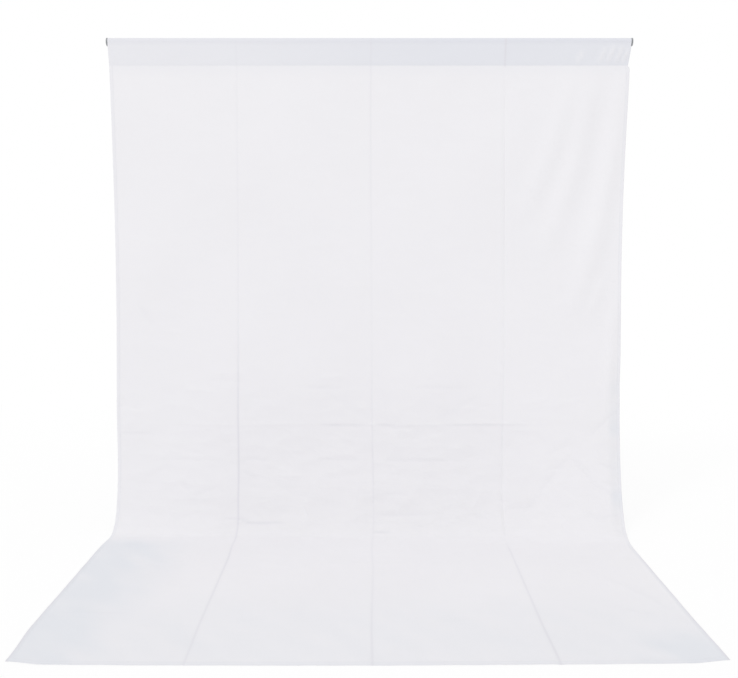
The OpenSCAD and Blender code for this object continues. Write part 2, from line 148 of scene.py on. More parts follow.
def hung_path(bend):
    """Side view of the sheet: v, y, z and the slopes dy/dv, dz/dv, then the places v of the seam and the hem.

    Back of the pocket from the seam up, a circle of LOOP_R over the bar, front of the pocket down to the
    seam, a plumb drop, a parabola y = -bend t^2, z = BEND_H (1 - t)^2 down to the floor, then the floor.
    """
    loop_points, pocket_points, drop_points, bend_points, floor_points = 61, 12, 80, 200, 120
    past_hem = 0.2
    tangent = math.acos(LOOP_R / (BAR_Z - SEAM_Z))
    turn = np.linspace(tangent, 2 * math.pi - tangent, loop_points)
    loop = np.stack([LOOP_R * np.sin(turn), BAR_Z - LOOP_R * np.cos(turn)], 1)
    step = np.linspace(0, 1, pocket_points, endpoint=False)[:, None]
    seam_back = np.array([[CLOTH_T, SEAM_Z]])
    seam_front = np.array([[-CLOTH_T / 2, SEAM_Z]])
    back = seam_back + step * (loop[:1] - seam_back)
    front = loop[-1:] + step[1:] * (seam_front - loop[-1:])
    drop_z = np.linspace(SEAM_Z, BEND_H, drop_points, endpoint=False)
    drop = np.stack([0 * drop_z, drop_z], 1)
    t = np.linspace(0, 1, bend_points)
    curve = np.stack([-bend * t**2, BEND_H * (1 - t) ** 2], 1)
    floor_y = np.linspace(-bend, HEM_Y - past_hem, floor_points)[1:]
    floor = np.stack([floor_y, 0 * floor_y], 1)
    points = np.concatenate([back, loop, front, drop, curve, floor])
    along = np.concatenate([[0.0], np.cumsum(np.linalg.norm(np.diff(points, axis=0), axis=1))])
    v = along - along[len(back) + np.argmax(loop[:, 1])]
    slopes = np.gradient(points, v, axis=0)
    seam = v[len(back) + len(loop) + len(front)]
    hem = np.interp(-HEM_Y, -floor_y, v[-len(floor_y) :])
    return (v, points[:, 0], points[:, 1], slopes[:, 0], slopes[:, 1]), seam, hem


PATH_LEFT, SEAM_V, hem_left = hung_path(BEND_D - BEND_SKEW)
PATH_RIGHT, _, hem_right = hung_path(BEND_D + BEND_SKEW)
LENGTH = hung_path(BEND_D)[2]
BACK_V = PATH_LEFT[0][0]


def stroke_distance(u, v, path):
    """Distance to a polyline in the flat cloth, and the place along it from 0 to 1."""
    points = np.array(path, float)
    steps = np.linalg.norm(np.diff(points, axis=0), axis=1)
    total = steps.sum()
    best = np.full(u.shape, 9.0)
    place = np.zeros(u.shape)
    done = 0.0
    for a, b, step in zip(points[:-1], points[1:], steps):
        t = np.clip(((u - a[0]) * (b[0] - a[0]) + (v - a[1]) * (b[1] - a[1])) / step**2, 0, 1)
        gap = np.hypot(u - a[0] - t * (b[0] - a[0]), v - a[1] - t * (b[1] - a[1]))
        closer = gap < best
        best = np.where(closer, gap, best)
        place = np.where(closer, (done + t * step) / total, place)
        done += step
    return best, np.clip(place, 0, 0.999999)


def soft_fold(u, v, path, width, height):
    """A rounded fold along a polyline: height exp(-(d / width)^2), fading at its ends as sin(pi s)^0.7."""
    gap, place = stroke_distance(u, v, path)
    return height * np.exp(-((gap / width) ** 2)) * np.sin(np.pi * place) ** 0.7


def sharp_fold(u, v, path, width, height):
    """A pressed crease along a polyline: height exp(-d / width), fading at its ends as sin(pi s)^0.4."""
    gap, place = stroke_distance(u, v, path)
    return height * np.exp(-gap / width) * np.sin(np.pi * place) ** 0.4


def waves(u, v, seed, count, shortest, longest, tilt):
    """A sum of sines of random direction near tilt radians, with wavelengths from shortest to longest."""
    rng = np.random.default_rng(seed)
    total = np.zeros(u.shape)
    for _ in range(count):
        wavelength = rng.uniform(shortest, longest)
        angle = tilt + rng.normal(0, 0.5)
        phase = rng.uniform(0, 2 * np.pi)
        total += np.sin(2 * np.pi * (u * np.cos(angle) + v * np.sin(angle)) / wavelength + phase)
    return total / math.sqrt(count)


# Storage creases, along the cloth in quarters of its width: the line as (v, u), its relief, and the share of
# painted shade along the fold as (v, share)
LONG_CREASES = [
    (
        [(0.1, -0.510), (0.6, -0.515), (1.8, -0.520), (2.2, -0.500), (3.0, -0.500)],
        -0.0010,
        [(0.1, 0.15), (1.1, 0.20), (1.45, 0.65), (1.85, 0.80), (2.00, 0.45), (2.2, 0.60), (3.0, 0.45)],
    ),
    (
        [(0.1, 0.005), (0.6, 0.010), (1.8, 0.015), (2.3, 0.025), (3.0, 0.015)],
        -0.0009,
        [
            (0.1, 0.28),
            (0.8, 0.15),
            (1.2, 0.10),
            (1.5, 0.25),
            (1.70, 0.38),
            (1.9, 0.20),
            (2.3, 0.25),
            (3.0, 0.50),
        ],
    ),
    (
        [(0.1, 0.520), (0.6, 0.535), (1.2, 0.540), (1.8, 0.525), (2.1, 0.535), (3.0, 0.530)],
        -0.0030,
        [
            (SEAM_V, 0.75),
            (SEAM_V + 0.004, 0.04),
            (1.2, 0.06),
            (1.55, 0.15),
            (1.8, 0.04),
            (2.00, 0.02),
            (2.1, 0.45),
            (2.6, 0.55),
            (3.0, 0.70),
        ],
    ),
]
# Storage creases across the cloth, in eighths of its length: place v, relief, left end, right end and share
# of painted shade
CROSS_CREASES = [
    (1.505, 0.0012, -0.99, -0.10, 0.00),
    (1.505, 0.0022, -0.22, 0.72, 0.06),
    (1.890, 0.0016, -0.56, 0.25, 0.06),
    (2.260, 0.0010, -0.95, 0.40, 0.00),
    (2.706, 0.0012, -0.97, -0.70, 0.15),
]
# How wide the storage creases are, and how the ones across waver
CREASE_WIDTH = 0.007
CROSS_WAVER = 0.002
CROSS_WAVES = 9
# Broad folds that fan out from the pulled top right corner: path, width, height
CORNER_FOLDS = [
    (
        [(0.985, 0.12), (0.965, 0.30), (0.935, 0.55), (0.905, 0.72), (0.860, 0.90), (0.800, 1.08)],
        0.044,
        0.0140,
    ),
    (
        [(0.880, 0.10), (0.842, 0.27), (0.815, 0.46), (0.780, 0.58), (0.735, 0.72), (0.690, 0.84)],
        0.044,
        0.0118,
    ),
    ([(0.800, 0.12), (0.755, 0.27), (0.705, 0.46), (0.650, 0.58), (0.590, 0.72)], 0.042, 0.0092),
    ([(0.935, 0.92), (0.900, 1.02), (0.862, 1.10)], 0.016, 0.0042),
    ([(0.985, 1.00), (0.960, 1.20), (0.955, 1.42)], 0.022, 0.0063),
]
# Short folds in the right end of the pocket: path, width, height
POCKET_FOLDS = [
    ([(0.795, 0.100), (0.820, 0.050)], 0.008, 0.0026),
    ([(0.878, 0.106), (0.905, 0.040)], 0.008, 0.0042),
    ([(0.910, 0.106), (0.940, 0.030)], 0.009, 0.0050),
    ([(0.944, 0.106), (0.970, 0.034)], 0.008, 0.0050),
    ([(0.972, 0.106), (0.992, 0.050)], 0.007, 0.0042),
]
# Pressed creases left from packing that stand out, low on the drop, at the bend and on the floor: path,
# width, height (below 0 for a groove) and share of painted shade
PRESSED = [
    ([(-0.910, 1.02), (-0.870, 1.09), (-0.830, 1.13)], 0.010, -0.0022, 0.10),
    ([(-0.985, 1.541), (-0.860, 1.541)], 0.008, -0.0023, 0.20),
    ([(-0.260, 1.36), (-0.110, 1.36)], 0.008, -0.0019, 0.10),
    ([(0.170, 1.36), (0.390, 1.36)], 0.008, -0.0019, 0.10),
    ([(0.270, 1.49), (0.370, 1.43), (0.440, 1.39)], 0.011, -0.0029, 0.15),
    ([(-0.190, 1.509), (-0.010, 1.509)], 0.007, -0.0022, 0.25),
    ([(0.030, 1.509), (0.100, 1.509)], 0.007, -0.0022, 0.20),
    ([(0.300, 1.509), (0.530, 1.509)], 0.007, -0.0017, 0.15),
    ([(0.012, 1.50), (-0.110, 1.42), (-0.220, 1.35)], 0.012, -0.0022, 0.00),
    ([(0.012, 1.51), (-0.120, 1.61)], 0.012, -0.0023, 0.05),
    ([(0.012, 1.51), (0.120, 1.60)], 0.012, 0.0026, 0.00),
    ([(-0.840, 1.645), (-0.570, 1.645)], 0.008, -0.0022, 0.10),
    ([(-0.210, 1.645), (-0.005, 1.645)], 0.008, -0.0023, 0.15),
    ([(0.060, 1.649), (0.390, 1.649)], 0.008, -0.0026, 0.15),
    ([(-0.800, 1.67), (-0.890, 1.72)], 0.012, -0.0024, 0.05),
    ([(-0.755, 1.73), (-0.710, 1.77)], 0.011, -0.0024, 0.10),
    ([(-0.720, 1.80), (-0.650, 1.77), (-0.600, 1.75)], 0.011, -0.0032, 0.15),
    ([(-0.510, 1.66), (-0.480, 1.644), (-0.400, 1.648)], 0.009, -0.0030, 0.20),
    ([(-0.510, 1.69), (-0.440, 1.72)], 0.009, -0.0030, 0.20),
    ([(-0.440, 1.70), (-0.300, 1.78), (-0.110, 1.82)], 0.016, -0.0029, 0.05),
    ([(0.025, 1.78), (0.140, 1.78)], 0.008, -0.0022, 0.15),
    ([(0.025, 1.862), (0.230, 1.862)], 0.008, -0.0026, 0.20),
    ([(-0.570, 1.878), (-0.500, 1.88), (-0.470, 1.897), (-0.340, 1.896)], 0.008, -0.0032, 0.40),
    ([(0.015, 1.938), (0.090, 1.938)], 0.007, -0.0029, 0.35),
    ([(0.545, 1.84), (0.635, 1.83), (0.700, 1.74), (0.800, 1.63)], 0.014, -0.0035, 0.10),
    ([(0.800, 1.63), (0.900, 1.75), (0.985, 1.80)], 0.015, -0.0036, 0.10),
    ([(0.870, 1.56), (0.950, 1.485), (0.990, 1.455)], 0.011, -0.0030, 0.10),
    ([(0.910, 1.66), (0.990, 1.69)], 0.009, -0.0026, 0.10),
    ([(0.920, 1.73), (0.990, 1.75)], 0.009, -0.0026, 0.10),
    ([(0.840, 1.855), (0.900, 1.875), (0.985, 1.86)], 0.008, -0.0022, 0.15),
    ([(-0.940, 2.24), (-0.830, 2.09)], 0.012, 0.0040, 0.00),
    ([(-0.985, 2.22), (-0.930, 2.08), (-0.870, 1.98)], 0.012, 0.0030, 0.00),
    ([(0.800, 2.36), (0.870, 2.50), (0.910, 2.57), (0.950, 2.69)], 0.012, 0.0036, 0.10),
    ([(0.700, 2.60), (0.860, 2.72), (0.985, 2.74)], 0.012, 0.0026, 0.05),
]
# Smaller packing creases, drawn at random: seed, count, middle and spread of their places across and along,
# the places they keep within, length, width, height
STRAY_SEED = 23
STRAY_COUNT = 90
STRAY_MIDDLE = (-0.05, 1.66)
STRAY_SPREAD = (0.50, 0.17)
STRAY_LOW = (-0.95, 1.30)
STRAY_HIGH = (0.95, 1.95)
STRAY_LENGTH = (0.04, 0.16)
STRAY_WIDTH = 0.009
STRAY_HEIGHT = 0.0019
# Slow waves of the drop and of the floor part, how far the right edge curls back, and how much of the pocket
# from its top stays plain
DROP_WAVES = 0.0009
FLOOR_WAVES = 0.0006
EDGE_CURL = 0.012
POCKET_PLAIN = 0.02
# Width of the step at a hem, size of the drawn front corners, and where the lay of the hem starts to ease in
HEM_EDGE = 0.002
CORNER_SIZE = (0.12, 0.25)
EASE_FROM = 2.1


def long_crease_line(v, line):
    """Place u of a long storage crease at each v."""
    places = np.array(line)
    return np.interp(v, places[:, 0], places[:, 1])


def cross_crease_line(u, place):
    """Place v of a storage crease across the cloth at each u: a slight sine about its own place."""
    return place + CROSS_WAVER * np.sin(CROSS_WAVES * u)


def crease_relief(u, v):
    """Relief of the storage creases: cusps height exp(-d / CREASE_WIDTH) that swell along them as a sine."""
    relief = np.zeros(u.shape)
    for line, height, _ in LONG_CREASES:
        swell = 0.8 + 0.3 * np.sin(5.0 * v + 9.0 * line[0][1])
        gap = np.abs(u - long_crease_line(v, line))
        relief += height * swell * rise(v, SEAM_V, 0.12) * np.exp(-gap / CREASE_WIDTH)
    for place, height, left, right, _ in CROSS_CREASES:
        swell = 0.75 + 0.4 * np.sin(7.0 * u + 3.0 * place)
        reach = rise(u, left, 0.12) * fall(u, right, 0.20)
        gap = np.abs(v - cross_crease_line(u, place))
        relief += height * swell * reach * np.exp(-gap / CREASE_WIDTH)
    return relief


def stray_relief(u, v):
    """Small packing creases at random places, mostly across the cloth, each a short sharp fold up or down."""
    rng = np.random.default_rng(STRAY_SEED)
    relief = np.zeros(u.shape)
    for _ in range(STRAY_COUNT):
        middle = np.clip(rng.normal(STRAY_MIDDLE, STRAY_SPREAD), STRAY_LOW, STRAY_HIGH)
        angle = rng.normal(0, 0.35)
        half = 0.5 * rng.uniform(*STRAY_LENGTH) * np.array([math.cos(angle), math.sin(angle)])
        height = STRAY_HEIGHT * rng.uniform(0.5, 1.4) * rng.choice([-1, 1])
        relief += sharp_fold(u, v, [middle - half, middle, middle + half], STRAY_WIDTH, height)
    return relief


def side_hem(u):
    """1 on the turned side hems and 0 inside them, with a step HEM_EDGE wide."""
    return rise(np.abs(u), HALF_WIDTH - SIDE_HEM - HEM_EDGE / 2, HEM_EDGE)


def front_hem(v):
    """1 on the turned front hem and 0 behind it, with a step HEM_EDGE wide."""
    return rise(v, LENGTH - FRONT_HEM - HEM_EDGE / 2, HEM_EDGE)


def cloth_relief(u, v):
    """Height of the sheet off its smooth hung form, in metres towards the viewer.

    It is the sum of all folds and creases, slow waves on the drop and on the floor, the curl of the right
    edge, and HEM_T on the hems. The top of the pocket and its back are plain.
    """
    relief = crease_relief(u, v) + stray_relief(u, v)
    for path, width, height in CORNER_FOLDS + POCKET_FOLDS:
        relief += soft_fold(u, v, path, width, height)
    for path, width, height, _ in PRESSED:
        relief += sharp_fold(u, v, path, width, height)
    hanging = rise(v, SEAM_V, 0.3) * fall(v, 1.9, 0.4)
    relief += DROP_WAVES * hanging * waves(u, v, seed=5, count=8, shortest=0.25, longest=0.7, tilt=0.2)
    laid = rise(v, 2.0, 0.15)
    relief += FLOOR_WAVES * laid * waves(u, v, seed=8, count=10, shortest=0.09, longest=0.3, tilt=0.9)
    relief -= EDGE_CURL * rise(u, 0.945, 0.055) * rise(v, 1.22, 0.15) * fall(v, 2.0, 0.08)
    relief += HEM_T * np.maximum(side_hem(u) * rise(v, SEAM_V, 0.004), front_hem(v))
    return np.where(v < POCKET_PLAIN, 0.0, relief)


def sway(v):
    """Sideways drift of the cloth's middle line: the sum of the SWAY_STEPS."""
    return sum(drift * rise(v, start, length) for start, length, drift in SWAY_STEPS)


def hang(u, v):
    """Places of the flat cloth in space: the hung path, pushed along its normal by the relief.

    The path is mixed from the left edge's to the right edge's, and eased so that the front hem is straight.
    x = u (1 - BOW sin(pi h)) + sway, with h the depth below the top as a share of the height above BOW_FOOT.
    The right end of the pocket is drawn in towards its seam by up to POCKET_DRAWN. The hem lies forward by
    HEM_FORWARD at HEM_FORWARD_AT, and less towards its ends. Its corners are drawn back by CORNER_BACK, and
    the left one in by LEFT_CORNER_IN.
    On the floor the relief r becomes (r + sqrt(r^2 + FLOOR_EASE^2)) / 2, so that it never goes below it.
    """
    share = (u + HALF_WIDTH) / (2 * HALF_WIDTH)
    y, z, dy, dz = (
        (1 - share) * np.interp(v, PATH_LEFT[0], left) + share * np.interp(v, PATH_RIGHT[0], right)
        for left, right in zip(PATH_LEFT[1:], PATH_RIGHT[1:])
    )
    short = (1 - share) * (LENGTH - hem_left) + share * (LENGTH - hem_right)
    short -= HEM_FORWARD * (1 - ((u - HEM_FORWARD_AT) / (HALF_WIDTH - HEM_FORWARD_AT)) ** 2)
    y += short * rise(v, EASE_FROM, LENGTH - EASE_FROM)
    corner = rise(np.abs(u), HALF_WIDTH - CORNER_SIZE[0], CORNER_SIZE[0])
    corner *= rise(v, LENGTH - CORNER_SIZE[1], CORNER_SIZE[1])
    y += CORNER_BACK * corner
    size = np.hypot(dy, dz)
    relief = cloth_relief(u, v)
    raised = 0.5 * (relief + np.sqrt(relief**2 + FLOOR_EASE**2))
    on_floor = rise(v, 1.90, 0.1)
    relief = relief * (1 - on_floor) + raised * on_floor
    depth = np.clip((TOP_Z - z) / (TOP_Z - BOW_FOOT), 0, 1)
    drawn = np.clip(np.abs(v) / SEAM_V, 0, 1) ** 2 * rise(u, 0.90, 0.10) * fall(v, SEAM_V + 0.012, 0.012)
    x = u * (1 - BOW * np.sin(np.pi * depth)) + sway(v)
    x += LEFT_CORNER_IN * corner * (u < 0) - POCKET_DRAWN * drawn
    return np.stack([x, BAR_Y + y + dz / size * relief, z - dy / size * relief + CLOTH_T / 2], -1)


# Grid lines close to a pressed crease and to a sewn edge, the least gap between lines, and the rounding of
# the edges
CREASE_FRINGE = (-0.012, -0.006, -0.0025, 0.0, 0.0025, 0.006, 0.012)
SEWN_FRINGE = (-0.003, -0.001, 0.001, 0.003)
LEAST_GAP = 0.0040
EDGE_ROUND = 0.0015
# Width of the painted shade along a crease, how much the bar shows through the pocket's top, and how much
# darker the side edges are on the floor
CREASE_SHADE_WIDTH = 0.004
BAR_SHOWS = 0.27
EDGE_DARKER = 0.9


def beside(lines, fringe):
    """Every line with every offset of the fringe."""
    return (np.array(lines)[:, None] + np.array(fringe)[None, :]).ravel()


def grid_lines(zones, close):
    """Grid lines at the gap of each zone (start, end, gap). Close ones take the place of those near them."""
    runs = [np.linspace(a, b, int(round((b - a) / gap)), endpoint=False) for a, b, gap in zones]
    even = np.concatenate(runs + [[zones[-1][1]]])
    close = np.unique(close[(close > even[0]) & (close < even[-1])])
    crowded = np.min(np.abs(even[:, None] - close[None, :]), axis=1) < LEAST_GAP
    crowded[[0, -1]] = False
    return np.unique(np.concatenate([even[~crowded], close]))


def cloth_grid():
    """Flat places u, v of the sheet's grid, whose columns follow the long storage creases."""
    follow_reach = 0.12
    starts = [line[0][1] for line, _, _ in LONG_CREASES]
    hems = [SIDE_HEM - HALF_WIDTH, HALF_WIDTH - SIDE_HEM]
    rims = [EDGE_ROUND - HALF_WIDTH, HALF_WIDTH - EDGE_ROUND]
    u_line = grid_lines(
        [(-HALF_WIDTH, 0.55, 0.0165), (0.55, 0.86, 0.0125), (0.86, HALF_WIDTH, 0.0085)],
        np.concatenate([beside(starts, CREASE_FRINGE), beside(hems, SEWN_FRINGE), rims]),
    )
    creases = [place for place, _, _, _, _ in CROSS_CREASES]
    sewn = [SEAM_V, LENGTH - FRONT_HEM]
    v_line = grid_lines(
        [
            (BACK_V, -0.03, 0.014),
            (-0.03, 0.03, 0.0045),
            (0.03, 0.13, 0.0085),
            (0.13, 1.28, 0.027),
            (1.28, 1.97, 0.0056),
            (1.97, LENGTH, 0.025),
        ],
        np.concatenate([beside(creases, CREASE_FRINGE), beside(sewn, SEWN_FRINGE), [LENGTH - EDGE_ROUND]]),
    )
    u, v = np.meshgrid(u_line, v_line, indexing="ij")
    follow = np.zeros(u.shape)
    for (line, _, _), start in zip(LONG_CREASES, starts):
        follow += (long_crease_line(v, line) - start) * np.exp(-(((u - start) / follow_reach) ** 2))
    return u + follow, v


def crease_shade(u, v):
    """Share of painted shade along the creases: exp(-(d / CREASE_SHADE_WIDTH)^2) times each crease's own
    share, at most 1.

    The top of the pocket starts at BAR_SHOWS, and the side edges on the floor are darker by EDGE_DARKER.
    """
    darkening = BAR_SHOWS * fall(np.abs(v), 0.036, 0.012)
    # The grey along the creases is painted shade.
    for line, _, share in LONG_CREASES:
        places = np.array(share)
        gap = (u - long_crease_line(v, line)) / CREASE_SHADE_WIDTH
        darkening += np.interp(v, places[:, 0], places[:, 1]) * np.exp(-(gap**2))
    for place, _, left, right, share in CROSS_CREASES:
        reach = rise(u, left, 0.05) * fall(u, right, 0.10)
        gap = (v - cross_crease_line(u, place) - CREASE_SHADE_WIDTH) / CREASE_SHADE_WIDTH
        darkening += share * reach * np.exp(-(gap**2))
    for path, width, _, share in PRESSED:
        gap, place = stroke_distance(u, v, path)
        darkening += share * np.exp(-((gap / (CREASE_SHADE_WIDTH + 0.4 * width)) ** 2)) * np.sin(np.pi * place) ** 0.4
    darkening += EDGE_DARKER * rise(np.abs(u), HALF_WIDTH - 0.006, 0.004) * rise(v, 1.95, 0.3)
    return np.minimum(darkening, 1.0)


def layers_and_painted_light(u, v):
    """Share of doubled cloth and of painted light: 0.35 to 0.7 in the pocket, growing to the right as painted
    shade, less along its wrinkles as painted highlights, and less on the hems and as a painted shadow below
    the seam.

    It is more over the bar.
    """
    # Painted shade: the pocket darkens towards the right.
    pocket = (v < SEAM_V) * (0.35 + 0.35 * rise(u, -0.9, 1.3))
    # Painted shadow: a grey strip below the seam.
    pocket += (v >= SEAM_V) * 0.15 * fall(v, SEAM_V + 0.05, 0.05)
    pocket += (0.20 + 0.12 * rise(u, -0.3, 0.8)) * fall(np.abs(v), 0.034, 0.016)
    # Painted highlights: the pocket's wrinkles are lighter.
    for path, width, _ in POCKET_FOLDS:
        pocket -= soft_fold(u, v, path, width, 0.45) * (v < SEAM_V)
    return np.maximum(pocket, np.maximum(0.2 * side_hem(u), 0.25 * front_hem(v)))


def painted_shade_share(u, v):
    """Share of painted shade: the floor part's left side, front right corner and front, and the curled right
    edge.
    """
    patchy = 1 + 0.2 * waves(u, v, seed=31, count=12, shortest=0.1, longest=0.3, tilt=2.2)
    left = fall(u, -0.58, 0.36) * rise(v, 1.93, 0.16)
    corner = rise(u, 0.58, 0.36) * rise(v, 2.70, 0.28)
    front = 0.35 * rise(v, 2.4, 0.5)
    edge = 0.45 * rise(u, 0.945, 0.025) * rise(v, 1.30, 0.05) * fall(v, 1.98, 0.1)
    edge *= 0.7 + 0.5 * waves(0 * u, v, seed=12, count=5, shortest=0.06, longest=0.3, tilt=1.57)
    return np.clip(np.maximum(left + corner, front) * patchy + edge, 0, 1)


def crumpling_and_shade(u, v):
    """Share of small crumples, which also greys the cloth as painted shade: most on the low drop, where the
    folded cloth was packed tight, some below.
    """
    low = 0.5 * rise(v, 1.15, 0.50) + 0.35 * rise(v, 1.70, 0.15)
    middle = 0.65 + 0.35 * fall(np.abs(u + 0.05), 0.75, 0.3)
    return np.maximum(low * middle * fall(v, 2.04, 0.14), 0.12)


def mesh_object(name, points, faces, material):
    """A mesh object from an array of points and a list of faces, shaded smooth."""
    mesh = bpy.data.meshes.new(name)
    mesh.from_pydata(points.reshape(-1, 3).tolist(), [], faces)
    mesh.polygons.foreach_set("use_smooth", np.ones(len(faces), bool))
    mesh.materials.append(material)
    made = bpy.data.objects.new(name, mesh)
    bpy.context.scene.collection.objects.link(made)
    return made


# Attributes of the sheet that its material reads
SHARES = {"crease": crease_shade, "layers_and_painted_light": layers_and_painted_light, "painted_shade": painted_shade_share, "crumple_and_shade": crumpling_and_shade}


def muslin_sheet(material):
    """The hung sheet as a quad grid, with its flat places as UV in metres and its shares as attributes."""
    u, v = cloth_grid()
    rows, columns = u.shape
    index = np.arange(rows * columns).reshape(rows, columns)
    corners = [index[:-1, :-1], index[1:, :-1], index[1:, 1:], index[:-1, 1:]]
    quads = np.stack(corners, -1).reshape(-1, 4)
    made = mesh_object("muslin_sheet", hang(u, v), quads.tolist(), material)
    layer = made.data.uv_layers.new(name="flat")
    flat = np.stack([u, v], -1).reshape(-1, 2)
    layer.data.foreach_set("uv", flat[quads.ravel()].astype(np.float32).ravel())
    for name, share in SHARES.items():
        store = made.data.attributes.new(name, "FLOAT", "POINT")
        store.data.foreach_set("value", share(u, v).astype(np.float32).ravel())
    thick = made.modifiers.new("cloth_thickness", "SOLIDIFY")
    thick.thickness = CLOTH_T
    thick.offset = 0.0
    return made


def stitch_rows():
    """Flat start and end places of every stitch: one row above the pocket seam and one inside each hem."""
    inset = 0.0015
    across = np.arange(STITCH - HALF_WIDTH, HALF_WIDTH - 2 * STITCH, STITCH_PITCH)
    down = np.arange(SEAM_V + STITCH_PITCH, LENGTH - FRONT_HEM - STITCH, STITCH_PITCH)
    starts = []
    ends = []
    for place in (SEAM_V - inset, LENGTH - FRONT_HEM + inset):
        starts.append(np.stack([across, np.full(across.shape, place)], 1))
        ends.append(starts[-1] + (STITCH, 0))
    for place in (SIDE_HEM - inset - HALF_WIDTH, HALF_WIDTH - SIDE_HEM + inset):
        starts.append(np.stack([np.full(down.shape, place), down], 1))
        ends.append(starts[-1] + (0, STITCH))
    return np.concatenate(starts), np.concatenate(ends)


def sewn_stitches(material):
    """Every stitch as a spindle on the front of the cloth: two ends sunk in it, two square rings between."""
    probe = 0.001
    start, end = stitch_rows()
    a = hang(start[:, 0], start[:, 1])
    b = hang(end[:, 0], end[:, 1])
    along = (b - a) / np.linalg.norm(b - a, axis=1)[:, None]
    ahead = hang(start[:, 0] + probe, start[:, 1]) - a
    below = hang(start[:, 0], start[:, 1] + probe) - a
    face = np.cross(below, ahead)
    face /= np.linalg.norm(face, axis=1)[:, None]
    beside_it = np.cross(face, along)
    lift = face * CLOTH_T / 2
    rings = [a + lift * 0.5]
    for place in (0.2, 0.8):
        middle = a + (b - a) * place + lift
        for turn in range(4):
            angle = math.pi / 4 + turn * math.pi / 2
            rings.append(middle + STITCH_R * (math.cos(angle) * beside_it + math.sin(angle) * face))
    rings.append(b + lift * 0.5)
    points = np.stack(rings, 1)
    turns = np.arange(4)
    after = (turns + 1) % 4
    first = np.stack([0 * turns, 1 + after, 1 + turns], 1)
    body = np.stack([1 + turns, 1 + after, 5 + after, 5 + turns], 1)
    last = np.stack([9 + 0 * turns, 5 + turns, 5 + after], 1)
    offset = 10 * np.arange(len(points))[:, None, None]
    tips = (np.concatenate([first, last])[None] + offset).reshape(-1, 3)
    sides = (body[None] + offset).reshape(-1, 4)
    return mesh_object("sewn_stitches", points, tips.tolist() + sides.tolist(), material)


# Finishes

def muslin_cloth():
    """Plain-woven cotton muslin, bleached and washed: matt, a little fuzzy, with soft mottling.

    The eye gets a soft white with faint cloudiness. Threads are about 0.5 mm apart in the real cloth, drawn
    here at 2.4 mm so that they show. Crumples are facets about 70 mm across. Doubled cloth looks greyer and
    colder. Painted shade greys the creases, the low drop, the sides and front of the floor part, the curled
    right edge and the pocket, and painted highlights lighten the pocket's wrinkles.
    """
    thread_mm = 2.4
    facet_mm = 70.0
    cloud_mm = 450.0
    material, tree, out = new_material("bleached_cotton_muslin")
    flat = add(tree, "ShaderNodeUVMap", uv_map="flat").outputs["UV"]
    cloud = add(tree, "ShaderNodeTexNoise", {"Vector": flat, "Scale": 1000 / cloud_mm, "Detail": 3.0})
    tone = add(tree, "ShaderNodeValToRGB", {0: cloud.outputs["Fac"]})
    tone.color_ramp.elements[0].position = 0.30
    tone.color_ramp.elements[0].color = linear("#eeedf0")
    tone.color_ramp.elements[1].position = 0.70
    tone.color_ramp.elements[1].color = linear("#f0eff2")
    colour = tone.outputs["Color"]
    shares = {name: add(tree, "ShaderNodeAttribute", attribute_name=name).outputs["Fac"] for name in SHARES}
    # These greys are mostly painted shade: on the low drop, on the sides and front of the floor part and the
    # curled right edge, and along the creases. The pocket's grey is partly doubled cloth and partly painted
    # shade, with painted highlights along its wrinkles.
    greyed = {"crumple_and_shade": "#e9e8eb", "painted_shade": "#e5e7ec", "layers_and_painted_light": "#e0e2e9", "crease": "#dedde3"}
    for name, grey in greyed.items():
        colour = add(
            tree,
            "ShaderNodeMix",
            {"Factor": shares[name], 6: colour, 7: linear(grey)},
            data_type="RGBA",
        ).outputs[2]
    # A wave texture repeats every 2 pi / (20 scale).
    wave_scale = 2 * math.pi * 1000 / (20 * thread_mm)
    threads = [
        add(
            tree,
            "ShaderNodeTexWave",
            {"Vector": flat, "Scale": wave_scale, "Distortion": 1.2, "Detail": 2.0},
            wave_type="BANDS",
            bands_direction=axis,
        ).outputs["Fac"]
        for axis in ("X", "Y")
    ]
    weave = add(tree, "ShaderNodeMath", {0: threads[0], 1: threads[1]}, operation="MULTIPLY")
    wander = add(tree, "ShaderNodeTexNoise", {"Vector": flat, "Scale": 1000 / (2 * facet_mm), "Detail": 2.0})
    moved = add(
        tree,
        "ShaderNodeVectorMath",
        {0: wander.outputs["Color"], 1: (2 * facet_mm / 1000, facet_mm / 1000, 0.0), 2: flat},
        operation="MULTIPLY_ADD",
    )
    wide = add(tree, "ShaderNodeMapping", {"Vector": moved.outputs[0], "Scale": (0.5, 1.0, 1.0)})
    facets = add(tree, "ShaderNodeTexVoronoi", {"Vector": wide.outputs[0], "Scale": 1000 / facet_mm})
    soft = add(
        tree,
        "ShaderNodeBump",
        {"Height": facets.outputs["Distance"], "Strength": shares["crumple_and_shade"], "Distance": facet_mm / 7000},
    )
    fine = add(
        tree,
        "ShaderNodeBump",
        {"Height": weave.outputs[0], "Strength": 0.12, "Distance": 0.0004, "Normal": soft.outputs["Normal"]},
    )
    shader = add(
        tree,
        "ShaderNodeBsdfPrincipled",
        {
            "Base Color": colour,
            "Roughness": 0.9,
            "Specular IOR Level": 0.2,
            "Sheen Weight": 0.1,
            "Sheen Roughness": 0.6,
            "Normal": fine.outputs["Normal"],
        },
    )
    tree.links.new(shader.outputs["BSDF"], out.inputs["Surface"])
    return material


def sewing_thread():
    """Spun polyester thread: white, with a slight gloss and a twist along each stitch."""
    twist_mm = 0.6
    material, tree, out = new_material("white_sewing_thread")
    place = add(tree, "ShaderNodeTexCoord").outputs["Object"]
    twist = add(tree, "ShaderNodeTexNoise", {"Vector": place, "Scale": 1000 / twist_mm, "Detail": 2.0})
    tone = add(tree, "ShaderNodeValToRGB", {0: twist.outputs["Fac"]})
    tone.color_ramp.elements[0].color = linear("#dcdce0")
    tone.color_ramp.elements[1].color = linear("#ececef")
    shader = add(tree, "ShaderNodeBsdfPrincipled", {"Base Color": tone.outputs["Color"], "Roughness": 0.6})
    tree.links.new(shader.outputs["BSDF"], out.inputs["Surface"])
    return material


